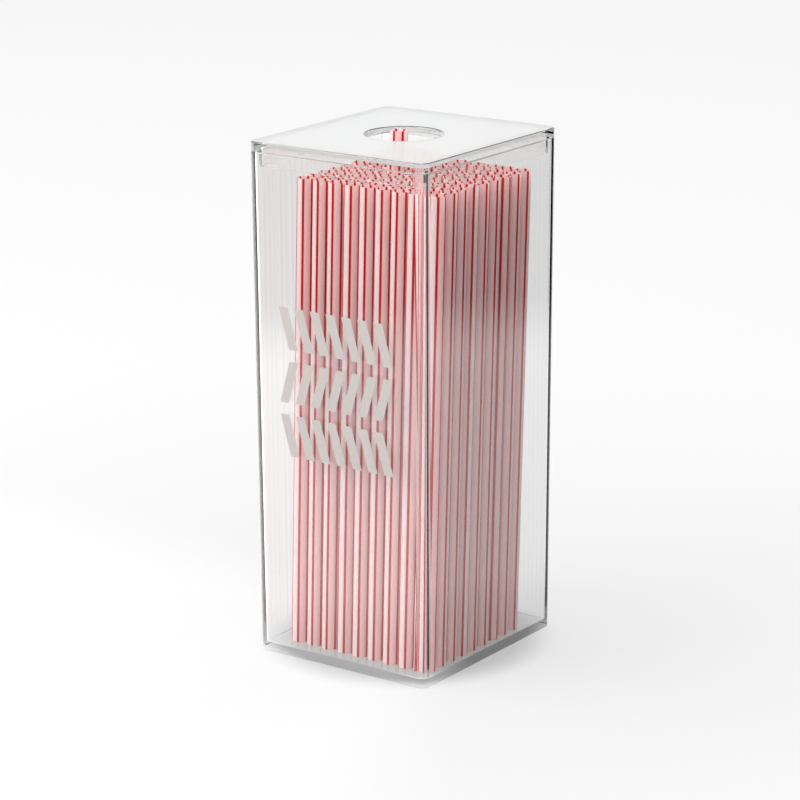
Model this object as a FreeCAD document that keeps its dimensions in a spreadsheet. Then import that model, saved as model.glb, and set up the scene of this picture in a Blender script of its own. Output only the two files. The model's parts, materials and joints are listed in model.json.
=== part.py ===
import FreeCAD, Part
import math
import os

import Sketcher

# Straw box: a tall clear tub, a lift-off lid with a round hole, and the straws that stand in it
# Millimetres, +Z up, origin at the middle of the underside, front face towards -Y

SIZES = [
    # the clear tub, measured at its mouth
    ("box_width", 87),
    ("box_depth", 96),
    ("wall", 2.6),
    ("floor_thickness", 3.2),
    ("draft_inset", 0.9),
    ("outer_corner", 4.4),
    ("inner_corner", 2),
    ("floor_cove", 0.8),
    ("foot_chamfer", 0.5),
    ("mouth_chamfer", 0.3),
    # the lid
    ("lid_edge", 4.2),
    ("lid_plate", 2.6),
    ("lid_chamfer", 0.5),
    ("rim_depth", 6),
    ("rim_wall", 2),
    ("rim_corner", 3.6),
    ("rim_clearance", 0.4),
    ("hole_radius", 16),
    ("hole_chamfer", 0.5),
    # one straw
    ("straw_length", 197),
    ("straw_radius", 3.6),
    ("straw_wall", 0.3),
    # how the straws stand
    ("head_room", 5.8),
    ("lean_right", 2.4),
    ("lean_back", 5),
    ("column_gap", 0.58),
    ("row_gap", 0.38),
    ("column_play", 0.12),
    ("row_play", 0.07),
    ("left_room", 6.7),
    ("right_room", 1.45),
    ("front_room", 6.1),
    ("back_room", 10),
    ("foot_gap", 0.05),
    ("raised_proud", 0.9),
]

# The lid's rim clears the straws' upper ends, so the tub's height follows from the straws
TUB_HEIGHT = "(sizes.floor_thickness + sizes.straw_length + sizes.head_room + sizes.rim_depth)"

# Straws that can be drawn through the hole one by one, the most central one first
HOLE_STRAWS = ["raised_straw", "hole_straw_1", "hole_straw_2", "hole_straw_3", "hole_straw_4"]

# Two lengths nearer than this are taken as the same
TOUCHING = 0.01

# Steps that scatter the straws a little, without any pattern that the eye would catch
ASIDE_STEP = 0.618034
ALONG_STEP = 0.754878


def make_sheet(doc):
    """The driving dimensions, one row each."""
    sheet = doc.addObject("Spreadsheet::Sheet", "sizes")
    for row, (name, value) in enumerate(SIZES, start=1):
        sheet.set("A%d" % row, name)
        sheet.set("B%d" % row, str(value))
        sheet.setAlias("B%d" % row, name)
    doc.recompute()
    return sheet


def tub_height(sheet):
    return sheet.floor_thickness + sheet.straw_length + sheet.head_room + sheet.rim_depth


def base_plane(body):
    """The body's own horizontal plane."""
    for feature in body.Origin.OriginFeatures:
        if feature.Role == "XY_Plane":
            return feature
    raise RuntimeError("no horizontal plane in " + body.Label)


def flat_sketch(body, name, level):
    """An empty sketch at the given level, an expression over the sheet."""
    sketch = body.newObject("Sketcher::SketchObject", name)
    sketch.AttachmentSupport = [(base_plane(body), "")]
    sketch.MapMode = "FlatFace"
    sketch.setExpression(".AttachmentOffset.Base.z", level)
    return sketch


def rounded_rectangle(body, name, level, width, depth, radius):
    """A sketch of a rectangle with round corners about the origin, its sizes bound to expressions."""
    sketch = flat_sketch(body, name, level)
    half_x, half_y, corner = 30.0, 40.0, 5.0
    up = FreeCAD.Vector(0, 0, 1)
    inner_x = half_x - corner
    inner_y = half_y - corner
    ends = [
        ((-inner_x, -half_y), (inner_x, -half_y)),
        ((half_x, -inner_y), (half_x, inner_y)),
        ((inner_x, half_y), (-inner_x, half_y)),
        ((-half_x, inner_y), (-half_x, -inner_y)),
    ]
    centres = [(inner_x, -inner_y), (inner_x, inner_y), (-inner_x, inner_y), (-inner_x, -inner_y)]
    for start, end in ends:
        sketch.addGeometry(Part.LineSegment(FreeCAD.Vector(*start, 0), FreeCAD.Vector(*end, 0)), False)
    for turn, centre in enumerate(centres):
        circle = Part.Circle(FreeCAD.Vector(*centre, 0), up, corner)
        begin = (turn - 1) * math.pi / 2
        sketch.addGeometry(Part.ArcOfCircle(circle, begin, begin + math.pi / 2), False)
    line = [0, 1, 2, 3]
    arc = [4, 5, 6, 7]
    rules = []
    for side in range(4):
        rules.append(Sketcher.Constraint("Tangent", line[side], 2, arc[side], 1))
        rules.append(Sketcher.Constraint("Tangent", arc[side], 2, line[(side + 1) % 4], 1))
    for side in (0, 2):
        rules.append(Sketcher.Constraint("Horizontal", line[side]))
        rules.append(Sketcher.Constraint("Vertical", line[side + 1]))
    for side in range(3):
        rules.append(Sketcher.Constraint("Equal", arc[side], arc[side + 1]))
    rules.append(Sketcher.Constraint("Symmetric", arc[3], 3, arc[1], 3, -1, 1))
    sketch.addConstraint(rules)
    sizes = [
        (Sketcher.Constraint("DistanceX", line[3], 1, line[1], 1, 2 * half_x), width),
        (Sketcher.Constraint("DistanceY", line[0], 1, line[2], 1, 2 * half_y), depth),
        (Sketcher.Constraint("Radius", arc[0], corner), radius),
    ]
    for rule, expression in sizes:
        place = sketch.addConstraint(rule)
        sketch.setExpression("Constraints[%d]" % place, expression)
    return sketch


def add_circle(sketch, start_radius, radius):
    """A circle about the sketch's origin, its radius bound to an expression."""
    centre = FreeCAD.Vector(0, 0, 0)
    number = sketch.addGeometry(Part.Circle(centre, FreeCAD.Vector(0, 0, 1), start_radius), False)
    sketch.addConstraint(Sketcher.Constraint("Coincident", number, 3, -1, 1))
    size = sketch.addConstraint(Sketcher.Constraint("Radius", number, start_radius))
    sketch.setExpression("Constraints[%d]" % size, radius)


def add_polygon(sketch, start_radius, radius, sides=16):
    """A regular polygon about the origin; the circle through its corners is bound to an expression."""
    turns = [2 * math.pi * corner / sides for corner in range(sides)]
    corners = [FreeCAD.Vector(math.cos(turn), math.sin(turn), 0) * start_radius for turn in turns]
    around = Part.Circle(FreeCAD.Vector(0, 0, 0), FreeCAD.Vector(0, 0, 1), start_radius)
    circle = sketch.addGeometry(around, True)
    lines = []
    for corner, following in zip(corners, corners[1:] + corners[:1]):
        lines.append(sketch.addGeometry(Part.LineSegment(corner, following), False))
    rules = [
        Sketcher.Constraint("Coincident", circle, 3, -1, 1),
        Sketcher.Constraint("PointOnObject", lines[0], 1, -1),
    ]
    for line, following in zip(lines, lines[1:] + lines[:1]):
        rules.append(Sketcher.Constraint("Coincident", line, 2, following, 1))
        rules.append(Sketcher.Constraint("PointOnObject", line, 2, circle))
    for line in lines[1:]:
        rules.append(Sketcher.Constraint("Equal", lines[0], line))
    sketch.addConstraint(rules)
    size = sketch.addConstraint(Sketcher.Constraint("Radius", circle, start_radius))
    sketch.setExpression("Constraints[%d]" % size, radius)


def edges_where(feature, wanted):
    """Names of the feature's edges whose box passes the test."""
    names = []
    for number, edge in enumerate(feature.Shape.Edges, start=1):
        if wanted(edge.BoundBox):
            names.append("Edge%d" % number)
    return names


def at_level(box, level):
    return abs(box.ZMin - level) < TOUCHING and abs(box.ZMax - level) < TOUCHING


def add_chamfer(body, name, feature, wanted, size):
    """Bevel the edges of a feature that pass the test."""
    names = edges_where(feature, wanted)
    if not names:
        raise RuntimeError("no edges to bevel for " + name)
    chamfer = body.newObject("PartDesign::Chamfer", name)
    chamfer.Base = (feature, names)
    chamfer.setExpression("Size", size)
    body.Document.recompute()
    return chamfer


def tapered_outline(body, name, level, inset, radius):
    """The tub's outline at a level, drawn in by the draft and by a further inset."""
    total = "(sizes.draft_inset * (1 - (%s) / %s) + %s)" % (level, TUB_HEIGHT, inset)
    return rounded_rectangle(
        body, name, level,
        "sizes.box_width - 2 * " + total, "sizes.box_depth - 2 * " + total, radius)


def add_loft(body, kind, name, outlines):
    """Straight walls from each outline to the next."""
    loft = body.newObject("PartDesign::" + kind, name)
    loft.Profile = outlines[0]
    loft.Sections = outlines[1:]
    loft.Ruled = True
    body.Document.recompute()
    return loft


# The tub: one moulding whose walls draw in a little towards the floor
def make_tub(doc):
    body = doc.addObject("PartDesign::Body", "tub")
    body.Label = "tub"
    below_mouth = TUB_HEIGHT + " - sizes.mouth_chamfer"
    add_loft(body, "AdditiveLoft", "outer_form", [
        tapered_outline(
            body, "foot", "0", "sizes.foot_chamfer", "sizes.outer_corner - sizes.foot_chamfer"),
        tapered_outline(body, "above_foot", "sizes.foot_chamfer", "0", "sizes.outer_corner"),
        tapered_outline(body, "below_mouth", below_mouth, "0", "sizes.outer_corner"),
        tapered_outline(
            body, "mouth", TUB_HEIGHT, "sizes.mouth_chamfer", "sizes.outer_corner - sizes.mouth_chamfer"),
    ])
    add_loft(body, "SubtractiveLoft", "inner_form", [
        tapered_outline(
            body, "hollow_floor", "sizes.floor_thickness",
            "sizes.wall + sizes.floor_cove", "sizes.inner_corner - sizes.floor_cove"),
        tapered_outline(
            body, "above_floor", "sizes.floor_thickness + sizes.floor_cove",
            "sizes.wall", "sizes.inner_corner"),
        tapered_outline(body, "below_lip", below_mouth, "sizes.wall", "sizes.inner_corner"),
        tapered_outline(
            body, "lip", TUB_HEIGHT,
            "sizes.wall - sizes.mouth_chamfer", "sizes.inner_corner + sizes.mouth_chamfer"),
    ])
    return body


# The lid: a plate with a thicker border, a rim that drops inside the walls, and the straw hole
def make_lid(doc, sheet):
    body = doc.addObject("PartDesign::Body", "lid")
    body.Label = "lid"
    plate_outline = rounded_rectangle(
        body, "plate_outline", TUB_HEIGHT, "sizes.box_width", "sizes.box_depth", "sizes.outer_corner")
    plate = body.newObject("PartDesign::Pad", "plate")
    plate.Profile = plate_outline
    plate.setExpression("Length", "sizes.lid_edge")

    inside = " - 2 * sizes.wall - 2 * sizes.rim_clearance"
    rim_outline = rounded_rectangle(
        body, "rim_outline", TUB_HEIGHT,
        "sizes.box_width" + inside, "sizes.box_depth" + inside, "sizes.rim_corner")
    rim = body.newObject("PartDesign::Pad", "rim")
    rim.Profile = rim_outline
    rim.Reversed = True
    rim.setExpression("Length", "sizes.rim_depth")

    recess_outline = rounded_rectangle(
        body, "recess_outline", TUB_HEIGHT + " - sizes.rim_depth",
        "sizes.box_width" + inside + " - 2 * sizes.rim_wall",
        "sizes.box_depth" + inside + " - 2 * sizes.rim_wall",
        "sizes.rim_corner - sizes.rim_wall")
    recess = body.newObject("PartDesign::Pocket", "recess")
    recess.Profile = recess_outline
    recess.Reversed = True
    recess.setExpression("Length", "sizes.rim_depth + sizes.lid_edge - sizes.lid_plate")

    hole_outline = flat_sketch(body, "hole_outline", TUB_HEIGHT + " + sizes.lid_edge")
    add_circle(hole_outline, sheet.hole_radius, "sizes.hole_radius")
    hole = body.newObject("PartDesign::Pocket", "straw_hole")
    hole.Profile = hole_outline
    hole.setExpression("Length", "2 * sizes.lid_plate")
    doc.recompute()

    top = tub_height(sheet) + sheet.lid_edge
    under_plate = top - sheet.lid_plate
    hole_reach = sheet.hole_radius + TOUCHING
    straight_x = sheet.box_width / 2 - sheet.outer_corner

    def on_hole(box):
        at_face = at_level(box, top) or at_level(box, under_plate)
        return at_face and max(abs(box.XMin), abs(box.XMax), abs(box.YMin), abs(box.YMax)) < hole_reach

    def on_outer_edge(box):
        return at_level(box, top) and max(abs(box.XMin), abs(box.XMax)) > straight_x - TOUCHING

    eased = add_chamfer(body, "hole_edges", hole, on_hole, "sizes.hole_chamfer")
    add_chamfer(body, "top_edge", eased, on_outer_edge, "sizes.lid_chamfer")
    return body


# One straw, standing upright on the origin: every straw in the box is this one again,
# so its round wall is drawn with sixteen flats, which keeps the whole stack light
def make_straw(doc, sheet):
    body = doc.addObject("PartDesign::Body", "straw")
    body.Label = "straw"
    ring = flat_sketch(body, "straw_ring", "0")
    add_polygon(ring, sheet.straw_radius, "sizes.straw_radius")
    add_polygon(ring, sheet.straw_radius - sheet.straw_wall, "sizes.straw_radius - sizes.straw_wall")
    tube = body.newObject("PartDesign::Pad", "straw_tube")
    tube.Profile = ring
    tube.setExpression("Length", "sizes.straw_length")
    doc.recompute()
    return body


class Bundle:
    """Where each straw stands: columns from left to right, rows from front to back."""

    def __init__(self, sheet):
        self.sheet = sheet
        rise = math.sqrt(sheet.straw_length ** 2 - sheet.lean_right ** 2 - sheet.lean_back ** 2)
        self.axis = FreeCAD.Vector(sheet.lean_right, sheet.lean_back, rise).normalize()
        tilt = math.acos(self.axis.z)
        self.foot_level = sheet.floor_thickness + sheet.foot_gap + sheet.straw_radius * math.sin(tilt)
        self.top_level = self.foot_level + rise
        self.lid_level = tub_height(sheet) + sheet.lid_edge
        self.column_pitch = 2 * sheet.straw_radius + sheet.column_gap
        self.row_pitch = 2 * sheet.straw_radius + sheet.row_gap
        foot_x, foot_y = self.inner_half(sheet.floor_thickness)
        top_x, top_y = self.inner_half(self.top_level)
        radius = sheet.straw_radius
        self.last_x = top_x - sheet.right_room - radius - sheet.lean_right
        self.first_y = -foot_y + sheet.front_room + radius
        least_x = -foot_x + sheet.left_room + radius
        most_y = top_y - sheet.back_room - radius - sheet.lean_back
        self.columns = 1 + int((self.last_x - least_x) / self.column_pitch)
        self.rows = 1 + int((most_y - self.first_y) / self.row_pitch)

    def inner_half(self, level):
        """Half the width and half the depth inside the tub at a level."""
        sheet = self.sheet
        inset = sheet.wall + sheet.draft_inset * (1 - level / tub_height(sheet))
        return sheet.box_width / 2 - inset, sheet.box_depth / 2 - inset

    def foot(self, column, row):
        """Centre of a straw's lower end; each stands a little off the even grid."""
        number = row * self.columns + column
        aside = 2 * ((number * ASIDE_STEP) % 1) - 1
        along = 2 * ((number * ALONG_STEP) % 1) - 1
        x = self.last_x - (self.columns - 1 - column) * self.column_pitch
        y = self.first_y + row * self.row_pitch
        return FreeCAD.Vector(
            x + aside * self.sheet.column_play, y + along * self.sheet.row_play, self.foot_level)

    def from_hole(self, column, row):
        """How far a straw's axis passes from the middle of the hole."""
        foot = self.foot(column, row)
        spot = foot + self.axis * ((self.lid_level - foot.z) / self.axis.z)
        return math.hypot(spot.x, spot.y)

    def nearest_hole(self, count):
        """The straws that pass nearest the middle of the hole, the most central first."""
        spots = [(column, row) for row in range(self.rows) for column in range(self.columns)]
        spots.sort(key=lambda spot: self.from_hole(*spot))
        return spots[:count]

    def groups(self, free):
        """The stack's straws side by side, the corners with front and back, then those inside it."""
        columns = range(self.columns)
        between = range(1, self.rows - 1)
        inside = [(column, row) for row in between for column in columns[1:-1]]
        return [
            ("straws_front", [(column, 0) for column in columns]),
            ("straws_back", [(column, self.rows - 1) for column in columns]),
            ("straws_left", [(0, row) for row in between]),
            ("straws_right", [(self.columns - 1, row) for row in between]),
            ("straws_inside", [spot for spot in inside if spot not in free]),
        ]

    def placement(self, column, row, raised=0):
        """The straw's place, slid up along its own length when it is raised."""
        turn = FreeCAD.Rotation(FreeCAD.Vector(0, 0, 1), self.axis)
        return FreeCAD.Placement(self.foot(column, row) + self.axis * raised, turn)

    def raise_to_hole(self):
        """How far the raised straw is drawn up, so that its end stands just proud of the lid."""
        return (self.lid_level + self.sheet.raised_proud - self.top_level) / self.axis.z


def add_straws(doc, label, straw, places):
    """A sub-part that holds the straw again at each of the places."""
    links = []
    for number, place in enumerate(places, start=1):
        link = doc.addObject("App::Link", "%s_%d" % (label, number))
        link.LinkedObject = straw
        link.Placement = place
        links.append(link)
    group = doc.addObject("Part::Compound", label)
    group.Links = links
    group.Label = label
    return group


# The straws: one drawn up into the hole, the others under the hole, and the rest of the stack
def add_bundle(doc, sheet, straw):
    bundle = Bundle(sheet)
    free = bundle.nearest_hole(len(HOLE_STRAWS))
    parts = []
    for label, spot in zip(HOLE_STRAWS, free):
        raised = 0 if parts else bundle.raise_to_hole()
        parts.append(add_straws(doc, label, straw, [bundle.placement(*spot, raised)]))
    for label, spots in bundle.groups(free):
        parts.append(add_straws(doc, label, straw, [bundle.placement(*spot) for spot in spots]))
    axis = bundle.axis
    print("straws: %d columns, %d rows" % (bundle.columns, bundle.rows))
    print("furthest hole straw passes %.2f from the middle" % bundle.from_hole(*free[-1]))
    print("straw axis: %.6f %.6f %.6f" % (axis.x, axis.y, axis.z))
    print("straw tops at %.3f, raised by %.3f" % (bundle.top_level, bundle.raise_to_hole()))
    return parts


def check_document(doc):
    for thing in doc.Objects:
        if "Invalid" in thing.State or "Error" in thing.State:
            raise RuntimeError("failed: " + thing.Label)


def write_parts(parts):
    os.makedirs("parts", exist_ok=True)
    for part in parts:
        shape = part.Shape
        if shape.isNull() or not shape.isValid():
            raise RuntimeError("bad shape: " + part.Label)
        shape.exportStep("parts/%s.step" % part.Label)
        print("%-14s %2d solids  %10.1f mm3" % (part.Label, len(shape.Solids), shape.Volume))


def main():
    doc = FreeCAD.newDocument("straw_box")
    sheet = make_sheet(doc)
    tub = make_tub(doc)
    lid = make_lid(doc, sheet)
    straw = make_straw(doc, sheet)
    straws = add_bundle(doc, sheet, straw)
    doc.recompute()
    check_document(doc)
    write_parts([tub, lid] + straws)


main()
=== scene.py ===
import json
import math
import random

import bmesh
import bpy
from mathutils import Matrix, Vector


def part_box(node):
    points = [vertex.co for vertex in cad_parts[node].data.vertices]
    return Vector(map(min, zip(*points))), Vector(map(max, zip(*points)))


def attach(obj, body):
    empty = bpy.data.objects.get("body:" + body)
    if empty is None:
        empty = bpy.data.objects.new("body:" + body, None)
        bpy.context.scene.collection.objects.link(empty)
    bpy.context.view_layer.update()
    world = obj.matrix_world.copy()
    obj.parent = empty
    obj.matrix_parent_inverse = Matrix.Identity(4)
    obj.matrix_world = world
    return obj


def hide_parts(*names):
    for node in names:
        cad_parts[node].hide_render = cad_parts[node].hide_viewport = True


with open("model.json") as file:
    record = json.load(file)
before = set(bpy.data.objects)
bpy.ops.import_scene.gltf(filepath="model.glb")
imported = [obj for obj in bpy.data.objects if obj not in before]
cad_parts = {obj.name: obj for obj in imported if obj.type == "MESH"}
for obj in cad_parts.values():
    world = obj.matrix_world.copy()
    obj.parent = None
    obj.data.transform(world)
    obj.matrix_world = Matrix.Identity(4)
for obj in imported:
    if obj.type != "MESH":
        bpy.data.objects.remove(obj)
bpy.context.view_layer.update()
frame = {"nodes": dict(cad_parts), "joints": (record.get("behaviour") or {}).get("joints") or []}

# A clear straw box, its lift-off lid and the striped straws that stand in it
# Metres, +Z up, front face towards -Y; sizes below are the real ones, places come from the frame

MM = 0.001
ARC_STEPS = 10
EDGE_STEPS = 4
STRAW_STEPS = 40
SHARP_ANGLE = 35
FLAT_FACE_WEIGHT = 100

# Tub sizes
WALL = 2.6 * MM
FLOOR = 3.2 * MM
DRAFT_INSET = 0.9 * MM
OUTER_CORNER = 4.4 * MM
INNER_CORNER = 2.0 * MM
FLOOR_COVE = 0.8 * MM
FOOT_EDGE = 0.5 * MM
MOUTH_EDGE = 0.3 * MM

# Lid sizes
LID_PLATE = 2.6 * MM
LID_EDGE = 4.2 * MM
LID_ROUND = 0.6 * MM
RIM_DEPTH = 6.0 * MM
RIM_WALL = 2.0 * MM
RIM_CORNER = 3.6 * MM
RIM_CLEARANCE = 0.4 * MM
HOLE_RADIUS = 16.0 * MM
HOLE_ROUND = 0.7 * MM

# Straw sizes; an end ring of a straw's solid is flatter than FLAT
STRAW_RADIUS = 3.6 * MM
STRAW_WALL = 0.3 * MM
FLAT = 0.1 * MM
STRIPES = 6
STRIPE_WIDTH = 1.0 * MM

# How the straws are turned about their own length, in degrees: most alike, so that the painted pink shade
# lies the same way on most straws, a few at random
TURN_SEED = 12
BASE_TURN = -72
RAISED_TURN = -91
TURN_SPREAD = 9
LOOSE_SPREAD = 34
LOOSE_SHARE = 0.15

# Herringbone print on the front face
PRINT_LEFT = -28.5 * MM
PRINT_RIGHT = 28.0 * MM
PRINT_LOW = 87.5 * MM
PRINT_ROW = 17.5 * MM
PRINT_GAP = 5.0 * MM
PRINT_ROWS = 3
PRINT_BAR = 4.4 * MM
PRINT_PITCH = 7.84 * MM
PRINT_SLANT = 5.0 * MM
PRINT_BACK = 0.005 * MM
PRINT_THICK = 0.05 * MM

# Clear plastic; haze shows where a surface is seen at a low angle, and more of it on the lid
CLEAR_TINT = (0.985, 0.99, 0.988, 1)
CLEAR_IOR = 1.5
CLEAR_SHADOW = (0.965, 0.97, 0.967, 1)
GLOSS_LEAST = 0.005
GLOSS_MOST = 0.03
DRIFT_SCALE = 22
DRIFT_DETAIL = 4
DRIFT_LOW = 0.35
DRIFT_HIGH = 0.75
WAVE_SCALE = 9
WAVE_STRENGTH = 0.03
WAVE_DEPTH = 0.4 * MM
HAZE_COLOR = (0.6, 0.61, 0.605, 1)
HAZE_BLEND = 0.5
HAZE_STARTS = 0.5
HAZE_FULL = 0.85
LID_HAZE = 0.7
TUB_HAZE = 0.2

# Straw plastic
STRAW_WHITE = (0.97, 0.88, 0.87, 1)
# painted shade and reflected red light, put between every other pair of lines
STRAW_SHADE_PINK = (0.97, 0.76, 0.75, 1)
STRAW_RED = (0.62, 0.01, 0.018, 1)
LINE_OUTER = 1.25
LINE_INNER = 0.8
STRAW_ROUGHNESS = 0.32
STRAW_SPECULAR = 0.1
STRAW_GLOWS = 0.5
STRAW_PASSES = 0.55
STRAW_PASS_TINT = (1, 0.8, 0.8, 1)

# Print ink
INK_DARK = (0.60, 0.56, 0.535, 1)
INK_LIGHT = (0.68, 0.64, 0.615, 1)
INK_GRAIN = 900
INK_ROUGHNESS = 0.6
INK_GLOWS = 0.35

# Floor as it is seen: its own colour under the lamps, mixed with a glow that dims near the box as painted
# shade, left out toward the lit side
FLOOR_SIZE = 12
FLOOR_COLOR = (0.7, 0.7, 0.7, 1)
FLOOR_ROUGHNESS = 0.9
FLOOR_SHARE = 0.7
GLOW_NEAR_SHADE = 0.9
GLOW_FAR = 1.0
GLOW_UNDER_SHADE = 0.6
GLOW_SIDE_FROM = 0.1
GLOW_SIDE_FULL = 0.6
SEEN_THROUGH = 0.84
FLOOR_FULL = 0.5
UNDER_BOX = 0.045
UNDER_FADE = 0.02

# Floor as the walls mirror it: a painted reflection of a table, with painted light to the left front and
# painted shade near and under the box, that ends in a darker room
TABLE_REACH = 0.5
TABLE_FADE = 0.16
TABLE_LIT = 2.0
TABLE_DIM = 0.9
TABLE_TURN = 0.5
TABLE_UNDER_SHADE = 0.4
TABLE_CLOSE = 0.06
TABLE_OPEN = 0.15
TABLE_SHADE = 0.55
ROOM_DARK = 0.06
ROOM_FROM = 0.93
ROOM_FULL = 0.985
LIT_SIDE = (-0.58, -0.81, 0.0)
ONE_WALL = 2.5

# World, lamps and camera
SKY_COLOR = (1, 1, 1, 1)
AMBIENT = 0.95
SKY = 1.0
LAMP_AIM = (0, 0, 0.1)
KEY_PLACE = (-0.9, -0.5, 1.5)
KEY_SIZE = 1.2
KEY_POWER = 14
FILL_PLACE = (1.2, -0.9, 1.1)
FILL_SIZE = 1.0
FILL_POWER = 4
FRONT_PLACE = (-0.6, -1.4, 0.9)
FRONT_SIZE = 1.0
FRONT_POWER = 8.5
CAMERA_PLACE = (0.70529, -0.98861, 0.44705)
CAMERA_TURN = 35.608
CAMERA_DOWN = 15.77
CAMERA_ROLL = -0.305
CAMERA_NEAR = 0.01
SENSOR_WIDTH = 36
FOCAL_PIXELS = 3041.9
FRAME_PIXELS = 800
LIGHT_BOUNCES = 24


def new_object(name, mesh):
    """An object in the scene with smooth shading that keeps large flat faces flat."""
    mesh.shade_smooth()
    mesh.set_sharp_from_angle(angle=math.radians(SHARP_ANGLE))
    piece = bpy.data.objects.new(name, mesh)
    bpy.context.scene.collection.objects.link(piece)
    weighted = piece.modifiers.new("flat_faces", "WEIGHTED_NORMAL")
    weighted.weight = FLAT_FACE_WEIGHT
    weighted.keep_sharp = True
    return piece


def finish_mesh(name, mesh):
    """An object from a mesh under construction, with its faces turned outwards."""
    bmesh.ops.recalc_face_normals(mesh, faces=mesh.faces)
    data = bpy.data.meshes.new(name)
    mesh.to_mesh(data)
    mesh.free()
    return new_object(name, data)


def rounded_outline(half_x, half_y, radius, level):
    """Points of a rectangle with round corners, anticlockwise from the front right corner."""
    points = []
    corners = [(1, -1, -90), (1, 1, 0), (-1, 1, 90), (-1, -1, 180)]
    for side_x, side_y, start in corners:
        centre_x = side_x * (half_x - radius)
        centre_y = side_y * (half_y - radius)
        for step in range(ARC_STEPS + 1):
            turn = math.radians(start + 90 * step / ARC_STEPS)
            points.append((centre_x + radius * math.cos(turn), centre_y + radius * math.sin(turn), level))
    return points


def circle_outline(radius, level, count):
    """Points of a circle, anticlockwise, starting at the front."""
    points = []
    for step in range(count):
        turn = math.radians(-90) + 2 * math.pi * step / count
        points.append((radius * math.cos(turn), radius * math.sin(turn), level))
    return points


def add_ring(mesh, points):
    return [mesh.verts.new(point) for point in points]


def bridge(mesh, low, high):
    """Faces between two rings with as many points."""
    count = len(low)
    for index in range(count):
        after = (index + 1) % count
        mesh.faces.new((low[index], low[after], high[after], high[index]))


def skin(name, rings, closed=False):
    """A mesh through rings of equal length, the first and last filled or, if closed, joined."""
    mesh = bmesh.new()
    loops = [add_ring(mesh, ring) for ring in rings]
    for low, high in zip(loops, loops[1:]):
        bridge(mesh, low, high)
    if closed:
        bridge(mesh, loops[-1], loops[0])
    else:
        mesh.faces.new(reversed(loops[0]))
        mesh.faces.new(loops[-1])
    return finish_mesh(name, mesh)


def quarter_round(radius):
    """Offsets along a rounded edge: how far in from the side and down from the face."""
    offsets = []
    for step in range(EDGE_STEPS + 1):
        turn = math.radians(90 * step / EDGE_STEPS)
        offsets.append((radius * (1 - math.cos(turn)), radius * (1 - math.sin(turn))))
    return offsets


# The tub: drafted walls around a floor, all edges a little round
def make_tub():
    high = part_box("tub")[1]

    def outline(level, inset, radius):
        total = DRAFT_INSET * (1 - level / high.z) + inset
        return rounded_outline(high.x - total, high.y - total, radius, level)

    rings = []
    for inward, down in quarter_round(FOOT_EDGE)[::-1]:
        rings.append(outline(down, inward, OUTER_CORNER - inward))
    for inward, down in quarter_round(MOUTH_EDGE):
        rings.append(outline(high.z - down, inward, OUTER_CORNER - inward))
    for inward, down in quarter_round(MOUTH_EDGE)[::-1]:
        rings.append(outline(high.z - down, WALL - inward, INNER_CORNER + inward))
    for inward, down in quarter_round(FLOOR_COVE):
        rings.append(outline(FLOOR + down, WALL + inward, INNER_CORNER - inward))
    piece = skin("tub_shell", rings)
    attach(piece, "tub")
    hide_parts("tub")
    return piece


# The lid: a plate with a thicker border, a rim below and the round hole
def make_lid():
    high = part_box("lid")[1]
    seat = high.z - LID_EDGE
    under_plate = high.z - LID_PLATE
    rim_low = seat - RIM_DEPTH
    rim_x = high.x - WALL - RIM_CLEARANCE
    rim_y = high.y - WALL - RIM_CLEARANCE
    inside = (rim_x - RIM_WALL, rim_y - RIM_WALL, RIM_CORNER - RIM_WALL)
    count = 4 * (ARC_STEPS + 1)
    edge = quarter_round(HOLE_ROUND)
    rings = [circle_outline(HOLE_RADIUS + inward, high.z - down, count) for inward, down in edge[::-1]]
    rings += [circle_outline(HOLE_RADIUS + inward, under_plate + down, count) for inward, down in edge]
    rings.append(rounded_outline(*inside, under_plate))
    rings.append(rounded_outline(*inside, rim_low))
    rings.append(rounded_outline(rim_x, rim_y, RIM_CORNER, rim_low))
    rings.append(rounded_outline(rim_x, rim_y, RIM_CORNER, seat))
    rings.append(rounded_outline(high.x, high.y, OUTER_CORNER, seat))
    for inward, down in quarter_round(LID_ROUND):
        rings.append(rounded_outline(high.x - inward, high.y - inward, OUTER_CORNER - inward, high.z - down))
    piece = skin("lid_plate", rings, closed=True)
    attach(piece, "lid")
    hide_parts("lid")
    return piece


def straw_direction():
    """The way every straw points: the axis along which the raised one slides."""
    for joint in frame["joints"]:
        if joint["name"] == "raised_straw_slide":
            return Vector(joint["axis"]).normalized()


def straw_axes(node, direction):
    """Foot and top of every straw in a node: the middles of its flat end rings."""
    mesh = frame["nodes"][node].data
    parent = list(range(len(mesh.vertices)))

    def root(index):
        while parent[index] != index:
            parent[index] = parent[parent[index]]
            index = parent[index]
        return index

    for polygon in mesh.polygons:
        first = root(polygon.vertices[0])
        for index in polygon.vertices:
            parent[root(index)] = first
    faces = {}
    for vertex in mesh.vertices:
        faces.setdefault(root(vertex.index), []).append(vertex.co.copy())
    ends = []
    for points in faces.values():
        heights = [point.dot(direction) for point in points]
        if max(heights) - min(heights) < FLAT:
            ends.append(sum(points, Vector()) / len(points))
    ends.sort(key=lambda point: point.dot(direction))
    feet = ends[:len(ends) // 2]
    tops = ends[len(ends) // 2:]
    axes = []
    for foot in feet:
        axes.append((foot, min(tops, key=lambda top: (top - foot).cross(direction).length)))
    return axes


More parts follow.
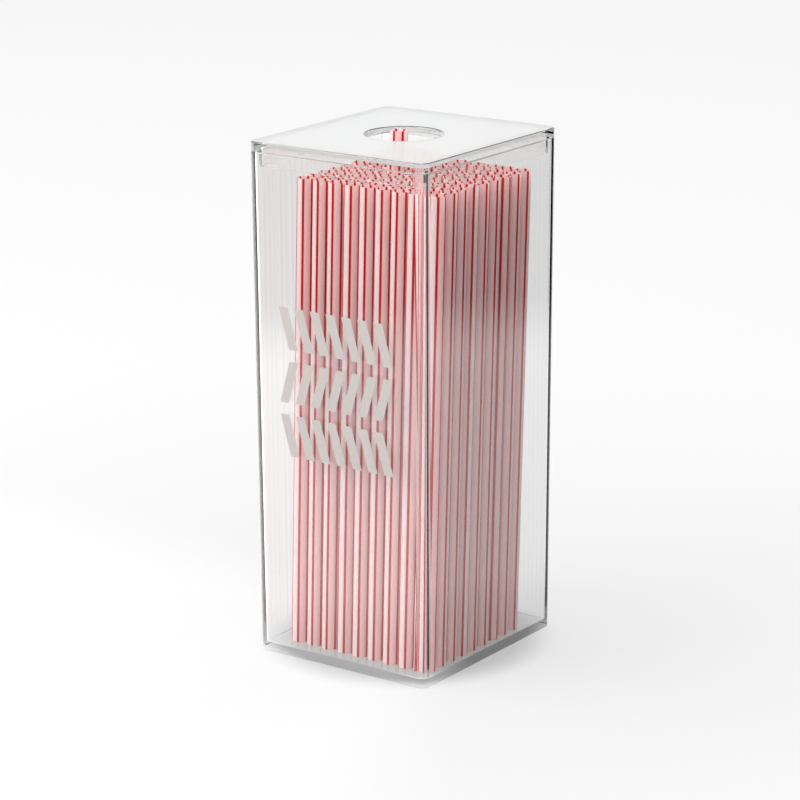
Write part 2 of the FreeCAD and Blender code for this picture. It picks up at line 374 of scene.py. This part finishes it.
def add_straw(mesh, layer, foot, top, turn):
    """One open tube; the first texture coordinate runs once around it, the second along it."""
    direction = (top - foot).normalized()
    across = Vector((1, 0, 0))
    across = (across - direction * across.dot(direction)).normalized()
    aside = direction.cross(across)
    length = (top - foot).length
    bore = STRAW_RADIUS - STRAW_WALL
    profile = [(STRAW_RADIUS, 0), (STRAW_RADIUS, length), (bore, length), (bore, 0)]
    rings = []
    for radius, height in profile:
        points = []
        for step in range(STRAW_STEPS):
            angle = 2 * math.pi * step / STRAW_STEPS
            outward = across * math.cos(angle) + aside * math.sin(angle)
            points.append(foot + direction * height + outward * radius)
        rings.append(add_ring(mesh, points))
    for place, low in enumerate(rings):
        following = (place + 1) % len(rings)
        high = rings[following]
        start = profile[place][1]
        end = profile[following][1]
        for step in range(STRAW_STEPS):
            after = (step + 1) % STRAW_STEPS
            face = mesh.faces.new((low[step], low[after], high[after], high[step]))
            marks = (step, step + 1, step + 1, step)
            for loop, mark, height in zip(face.loops, marks, (start, start, end, end)):
                loop[layer].uv = (mark / STRAW_STEPS - turn / 360, height)


def straw_turns(count):
    """How far each straw is turned about its length, in degrees."""
    turns = []
    for index in range(count):
        spread = LOOSE_SPREAD if random.random() < LOOSE_SHARE else TURN_SPREAD
        turns.append(BASE_TURN + random.uniform(-spread, spread))
    return turns


def make_straws(node, ending, body, turns=None):
    """The straws of one node as round tubes around the axes of its solids."""
    axes = straw_axes(node, straw_direction())
    mesh = bmesh.new()
    layer = mesh.loops.layers.uv.new("around")
    for (foot, top), turn in zip(axes, turns or straw_turns(len(axes))):
        add_straw(mesh, layer, foot, top, turn)
    piece = finish_mesh(node + ending, mesh)
    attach(piece, body)
    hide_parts(node)
    return piece


# The print: three rows of slanted bars, herringbone fashion, a thin film on the drafted front wall
def make_print():
    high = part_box("tub")[1]

    def on_wall(x, z, lift):
        draft = DRAFT_INSET * (1 - z / high.z)
        return (x, -(high.y - draft) - lift, z)

    mesh = bmesh.new()
    count = int((PRINT_RIGHT - PRINT_LEFT - PRINT_SLANT - PRINT_BAR) / PRINT_PITCH) + 1
    for row in range(PRINT_ROWS):
        base = PRINT_LOW + row * (PRINT_ROW + PRINT_GAP)
        slant = PRINT_SLANT if row % 2 else -PRINT_SLANT
        start = PRINT_LEFT + max(0, -slant)
        for bar in range(count):
            x = start + bar * PRINT_PITCH
            corners = [
                (x, base), (x + PRINT_BAR, base),
                (x + PRINT_BAR + slant, base + PRINT_ROW), (x + slant, base + PRINT_ROW),
            ]
            near = add_ring(mesh, [on_wall(*corner, PRINT_BACK) for corner in corners])
            far = add_ring(mesh, [on_wall(*corner, PRINT_THICK) for corner in corners])
            mesh.faces.new(far)
            mesh.faces.new(reversed(near))
            bridge(mesh, near, far)
    piece = finish_mesh("front_print", mesh)
    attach(piece, "tub")
    return piece


def new_material(name):
    material = bpy.data.materials.new(name)
    material.use_nodes = True
    tree = material.node_tree
    return material, tree, tree.nodes["Principled BSDF"]


def add_node(tree, kind, **values):
    node = tree.nodes.new(kind)
    for key, value in values.items():
        setattr(node, key, value)
    return node


def set_inputs(node, values):
    """Plain numbers and colours set on a node's own sockets."""
    for name, value in values.items():
        node.inputs[name].default_value = value


def show(tree, surface):
    """The shader that the material shows."""
    tree.links.new(surface, tree.nodes["Material Output"].inputs["Surface"])


def calculate(tree, kind, first, second=None):
    """A Math node over sockets or plain numbers; gives its output."""
    node = add_node(tree, "ShaderNodeMath", operation=kind)
    for socket, value in zip(node.inputs, (first, second)):
        if value is None:
            continue
        if isinstance(value, (int, float)):
            socket.default_value = value
        else:
            tree.links.new(value, socket)
    return node.outputs[0]


def multiply(tree, first, second):
    return calculate(tree, "MULTIPLY", first, second)


def blend(tree, share, first, second):
    """A Mix Shader node whose share is a socket or a plain number; gives its output."""
    node = add_node(tree, "ShaderNodeMixShader")
    if isinstance(share, (int, float)):
        node.inputs[0].default_value = share
    else:
        tree.links.new(share, node.inputs[0])
    tree.links.new(first, node.inputs[1])
    tree.links.new(second, node.inputs[2])
    return node.outputs[0]


def smooth_step(tree, value, start, end, low=0.0, high=1.0):
    """A value that eases from low at the start to high at the end."""
    node = add_node(tree, "ShaderNodeMapRange", interpolation_type="SMOOTHSTEP")
    set_inputs(node, {"From Min": start, "From Max": end, "To Min": low, "To Max": high})
    tree.links.new(value, node.inputs["Value"])
    return node.outputs["Result"]


def raise_from(tree, mask, low):
    """A mask from 0 to 1 turned into a factor from low to 1."""
    return calculate(tree, "ADD", multiply(tree, mask, 1 - low), low)


def noise(tree, place, scale, detail=None):
    """A noise texture over the object; gives its value."""
    node = add_node(tree, "ShaderNodeTexNoise")
    node.inputs["Scale"].default_value = scale
    if detail is not None:
        node.inputs["Detail"].default_value = detail
    tree.links.new(place, node.inputs["Vector"])
    return node.outputs["Fac"]


# Marks of moulding and handling, for every clear piece: gloss that drifts and faces that wave a little
def clear_marks():
    group = bpy.data.node_groups.new("clear_marks", "ShaderNodeTree")
    for name in ("Least Roughness", "Most Roughness", "Wave Strength"):
        group.interface.new_socket(name=name, in_out="INPUT", socket_type="NodeSocketFloat")
    group.interface.new_socket(name="Roughness", in_out="OUTPUT", socket_type="NodeSocketFloat")
    group.interface.new_socket(name="Normal", in_out="OUTPUT", socket_type="NodeSocketVector")
    given = add_node(group, "NodeGroupInput").outputs
    result = add_node(group, "NodeGroupOutput").inputs
    place = add_node(group, "ShaderNodeTexCoord").outputs["Object"]
    spread = add_node(group, "ShaderNodeMapRange")
    set_inputs(spread, {"From Min": DRIFT_LOW, "From Max": DRIFT_HIGH})
    group.links.new(noise(group, place, DRIFT_SCALE, DRIFT_DETAIL), spread.inputs["Value"])
    group.links.new(given["Least Roughness"], spread.inputs["To Min"])
    group.links.new(given["Most Roughness"], spread.inputs["To Max"])
    group.links.new(spread.outputs["Result"], result["Roughness"])
    bump = add_node(group, "ShaderNodeBump")
    bump.inputs["Distance"].default_value = WAVE_DEPTH
    group.links.new(given["Wave Strength"], bump.inputs["Strength"])
    group.links.new(noise(group, place, WAVE_SCALE), bump.inputs["Height"])
    group.links.new(bump.outputs["Normal"], result["Normal"])
    return group


# Clear moulded plastic, hazy where it is seen at a low angle
def clear_plastic(name, marks, haze_share):
    material, tree, shader = new_material(name)
    plain = {"Base Color": CLEAR_TINT, "Metallic": 0, "Transmission Weight": 1, "IOR": CLEAR_IOR}
    set_inputs(shader, plain)
    worn = add_node(tree, "ShaderNodeGroup", node_tree=marks)
    set_inputs(worn, {"Least Roughness": GLOSS_LEAST, "Most Roughness": GLOSS_MOST})
    worn.inputs["Wave Strength"].default_value = WAVE_STRENGTH
    tree.links.new(worn.outputs["Roughness"], shader.inputs["Roughness"])
    tree.links.new(worn.outputs["Normal"], shader.inputs["Normal"])
    haze = add_node(tree, "ShaderNodeBsdfDiffuse")
    haze.inputs["Color"].default_value = HAZE_COLOR
    slant = add_node(tree, "ShaderNodeLayerWeight")
    slant.inputs["Blend"].default_value = HAZE_BLEND
    milky = smooth_step(tree, slant.outputs["Facing"], HAZE_STARTS, HAZE_FULL, 0.0, haze_share)
    body = blend(tree, milky, shader.outputs[0], haze.outputs[0])
    # light on its way to the straws passes almost unhindered
    light = add_node(tree, "ShaderNodeLightPath")
    clear = add_node(tree, "ShaderNodeBsdfTransparent")
    clear.inputs["Color"].default_value = CLEAR_SHADOW
    show(tree, blend(tree, light.outputs["Is Shadow Ray"], body, clear.outputs[0]))
    return material


# White straw plastic with six red lines; the pink between every other pair is painted shade and red light
# bounced from the neighbouring straws
def straw_plastic():
    material, tree, shader = new_material("striped_straw")
    place = add_node(tree, "ShaderNodeUVMap", uv_map="around")
    parts = add_node(tree, "ShaderNodeSeparateXYZ")
    tree.links.new(place.outputs["UV"], parts.inputs[0])
    sector = multiply(tree, parts.outputs[0], STRIPES)

    # distance to the nearest line, as a share of the sector
    nearest = calculate(tree, "ROUND", sector)
    offset = calculate(tree, "ABSOLUTE", calculate(tree, "SUBTRACT", sector, nearest))
    half_line = STRIPE_WIDTH / 2 * STRIPES / (2 * math.pi * STRAW_RADIUS)
    line = smooth_step(tree, offset, half_line * LINE_OUTER, half_line * LINE_INNER)
    pair = calculate(tree, "FRACT", multiply(tree, sector, 0.5))

    # painted shade: every other sector is pink instead of white, for the shaded side of the straw and the
    # red light bounced onto it
    base = add_node(tree, "ShaderNodeMix", data_type="RGBA")
    set_inputs(base, {"A": STRAW_WHITE, "B": STRAW_SHADE_PINK})
    tree.links.new(calculate(tree, "LESS_THAN", pair, 0.5), base.inputs["Factor"])
    striped = add_node(tree, "ShaderNodeMix", data_type="RGBA")
    striped.inputs["B"].default_value = STRAW_RED
    tree.links.new(line, striped.inputs["Factor"])
    tree.links.new(base.outputs["Result"], striped.inputs["A"])
    tree.links.new(striped.outputs["Result"], shader.inputs["Base Color"])
    set_inputs(shader, {"Roughness": STRAW_ROUGHNESS, "Specular IOR Level": STRAW_SPECULAR})

    # the thin wall glows with the light behind it and lets part of the light on to the next straw
    glowing = add_node(tree, "ShaderNodeBsdfTranslucent")
    tree.links.new(striped.outputs["Result"], glowing.inputs["Color"])
    body = blend(tree, STRAW_GLOWS, shader.outputs[0], glowing.outputs[0])
    light = add_node(tree, "ShaderNodeLightPath")
    onward = add_node(tree, "ShaderNodeBsdfTransparent")
    onward.inputs["Color"].default_value = STRAW_PASS_TINT
    passed = multiply(tree, light.outputs["Is Shadow Ray"], STRAW_PASSES)
    show(tree, blend(tree, passed, body, onward.outputs[0]))
    return material


# Pale ink with a fine grain; it is thin, so its back is pale too
def print_ink():
    material, tree, shader = new_material("white_ink")
    place = add_node(tree, "ShaderNodeTexCoord").outputs["Object"]
    tone = add_node(tree, "ShaderNodeValToRGB")
    tone.color_ramp.elements[0].color = INK_DARK
    tone.color_ramp.elements[1].color = INK_LIGHT
    tree.links.new(noise(tree, place, INK_GRAIN), tone.inputs["Fac"])
    tree.links.new(tone.outputs["Color"], shader.inputs["Base Color"])
    shader.inputs["Roughness"].default_value = INK_ROUGHNESS
    glowing = add_node(tree, "ShaderNodeBsdfTranslucent")
    tree.links.new(tone.outputs["Color"], glowing.inputs["Color"])
    show(tree, blend(tree, INK_GLOWS, shader.outputs[0], glowing.outputs[0]))
    return material


def seen_floor(tree, shader, light, distance, toward, outside):
    """The floor as it is seen, directly or straight through the box, with painted shade in its glow near and
    under the box.
    """
    through = light.outputs["Is Transmission Ray"]
    # painted shade: the glow is dimmer near the box and darker under it, and painted light keeps it full
    # toward the lit side; seen through the box it is dimmer too
    by_distance = smooth_step(tree, distance, UNDER_BOX, FLOOR_FULL, GLOW_NEAR_SHADE, GLOW_FAR)
    by_side = smooth_step(tree, toward, GLOW_SIDE_FROM, GLOW_SIDE_FULL, GLOW_NEAR_SHADE, GLOW_FAR)
    level = calculate(tree, "MAXIMUM", by_distance, by_side)
    level = multiply(tree, level, raise_from(tree, outside, GLOW_UNDER_SHADE))
    dimmed = calculate(tree, "SUBTRACT", 1, multiply(tree, through, 1 - SEEN_THROUGH))
    glow = add_node(tree, "ShaderNodeEmission")
    tree.links.new(multiply(tree, level, dimmed), glow.inputs["Strength"])
    seen = calculate(tree, "MAXIMUM", light.outputs["Is Camera Ray"], through)
    return blend(tree, multiply(tree, seen, FLOOR_SHARE), shader.outputs[0], glow.outputs[0])


def mirrored_rays(tree, light):
    """1 for rays that bounced off a wall's outer face, or entered one wall and left it again."""
    through = light.outputs["Is Transmission Ray"]
    bounced = calculate(tree, "SUBTRACT", light.outputs["Is Glossy Ray"], through)
    shallow = calculate(tree, "LESS_THAN", light.outputs["Transmission Depth"], ONE_WALL)
    return calculate(tree, "MAXIMUM", bounced, multiply(tree, through, shallow))


def mirrored_table(tree, distance, toward, outside):
    """The table that the walls mirror, and the dark room beyond it, as a painted reflection with painted
    light and shade.
    """
    # painted light to the left front, painted shade near and under the box
    lit = smooth_step(tree, toward, -TABLE_TURN, TABLE_TURN, TABLE_DIM, TABLE_LIT)
    lit = multiply(tree, lit, smooth_step(tree, distance, TABLE_CLOSE, TABLE_OPEN, TABLE_SHADE, 1.0))
    lit = multiply(tree, lit, raise_from(tree, outside, TABLE_UNDER_SHADE))
    far = smooth_step(tree, distance, TABLE_REACH, TABLE_REACH + TABLE_FADE)
    ahead = smooth_step(tree, calculate(tree, "ABSOLUTE", toward), ROOM_FROM, ROOM_FULL)
    near = calculate(tree, "SUBTRACT", 1, multiply(tree, far, ahead))
    table = add_node(tree, "ShaderNodeEmission")
    tree.links.new(multiply(tree, lit, raise_from(tree, near, ROOM_DARK)), table.inputs["Strength"])
    return table.outputs[0]


# Floor: pale and softly shadowed for the eye, by the lamps and by painted shade near and under the box; what
# the walls mirror of it ends where the table ends
def make_floor():
    bpy.ops.mesh.primitive_plane_add(size=FLOOR_SIZE)
    floor = bpy.context.object
    floor.name = "studio_floor"
    material, tree, shader = new_material("pale_floor")
    matt = {"Base Color": FLOOR_COLOR, "Roughness": FLOOR_ROUGHNESS, "Specular IOR Level": 0.0}
    set_inputs(shader, matt)
    where = add_node(tree, "ShaderNodeNewGeometry").outputs["Position"]
    reach = add_node(tree, "ShaderNodeVectorMath", operation="LENGTH")
    tree.links.new(where, reach.inputs[0])
    distance = reach.outputs["Value"]
    side = add_node(tree, "ShaderNodeVectorMath", operation="DOT_PRODUCT")
    side.inputs[1].default_value = LIT_SIDE
    tree.links.new(where, side.inputs[0])
    toward = calculate(tree, "DIVIDE", side.outputs["Value"], distance)
    # where the painted shade under the box begins, for the seen floor and the mirrored table alike
    outside = smooth_step(tree, distance, UNDER_BOX, UNDER_BOX + UNDER_FADE)
    light = add_node(tree, "ShaderNodeLightPath")
    seen = seen_floor(tree, shader, light, distance, toward, outside)
    table = mirrored_table(tree, distance, toward, outside)
    show(tree, blend(tree, mirrored_rays(tree, light), seen, table))
    floor.data.materials.append(material)


# World: white to the eye and in reflections, a little softer as light
def make_world():
    world = bpy.data.worlds.new("studio")
    bpy.context.scene.world = world
    world.use_nodes = True
    tree = world.node_tree
    background = tree.nodes["Background"]
    background.inputs["Color"].default_value = SKY_COLOR
    light = add_node(tree, "ShaderNodeLightPath")
    seen = calculate(tree, "MAXIMUM", light.outputs["Is Camera Ray"], light.outputs["Is Transmission Ray"])
    bright = calculate(tree, "MAXIMUM", seen, light.outputs["Is Glossy Ray"])
    level = add_node(tree, "ShaderNodeMapRange")
    set_inputs(level, {"To Min": AMBIENT, "To Max": SKY})
    tree.links.new(bright, level.inputs["Value"])
    tree.links.new(level.outputs["Result"], background.inputs["Strength"])


def add_lamp(name, place, size, power):
    data = bpy.data.lights.new(name, "AREA")
    data.shape = "SQUARE"
    data.size = size
    data.energy = power
    lamp = bpy.data.objects.new(name, data)
    bpy.context.scene.collection.objects.link(lamp)
    lamp.location = place
    lamp.rotation_euler = (Vector(LAMP_AIM) - Vector(place)).to_track_quat("-Z", "Y").to_euler()


def make_camera():
    data = bpy.data.cameras.new("camera")
    data.lens = SENSOR_WIDTH * FOCAL_PIXELS / FRAME_PIXELS
    data.sensor_width = SENSOR_WIDTH
    data.clip_start = CAMERA_NEAR
    camera = bpy.data.objects.new("camera", data)
    bpy.context.scene.collection.objects.link(camera)
    camera.location = CAMERA_PLACE
    turn = Matrix.Rotation(math.radians(CAMERA_TURN), 4, "Z")
    tip = Matrix.Rotation(math.radians(90 - CAMERA_DOWN), 4, "X")
    roll = Matrix.Rotation(math.radians(CAMERA_ROLL), 4, "Z")
    camera.rotation_euler = (turn @ tip @ roll).to_euler()
    bpy.context.scene.camera = camera


# Box and lid
marks = clear_marks()
tub = make_tub()
tub.data.materials.append(clear_plastic("clear_tub", marks, TUB_HAZE))
lid = make_lid()
lid.data.materials.append(clear_plastic("clear_lid", marks, LID_HAZE))

# Straws
random.seed(TURN_SEED)
straws = []
for node in ("straws_front", "straws_back", "straws_left", "straws_right", "straws_inside"):
    straws.append(make_straws(node, "_tubes", "straw_bundle"))
straws.append(make_straws("raised_straw", "_tube", "raised_straw", [RAISED_TURN]))
for node in ("hole_straw_1", "hole_straw_2", "hole_straw_3", "hole_straw_4"):
    straws.append(make_straws(node, "_tube", node))
straw_finish = straw_plastic()
for piece in straws:
    piece.data.materials.append(straw_finish)

# Print
front_print = make_print()
front_print.data.materials.append(print_ink())

# Studio
make_floor()
make_world()
add_lamp("key_softbox", KEY_PLACE, KEY_SIZE, KEY_POWER)
add_lamp("fill_softbox", FILL_PLACE, FILL_SIZE, FILL_POWER)
add_lamp("front_softbox", FRONT_PLACE, FRONT_SIZE, FRONT_POWER)
make_camera()

scene = bpy.context.scene
scene.view_settings.view_transform = "Standard"
scene.cycles.max_bounces = LIGHT_BOUNCES
scene.cycles.transmission_bounces = LIGHT_BOUNCES
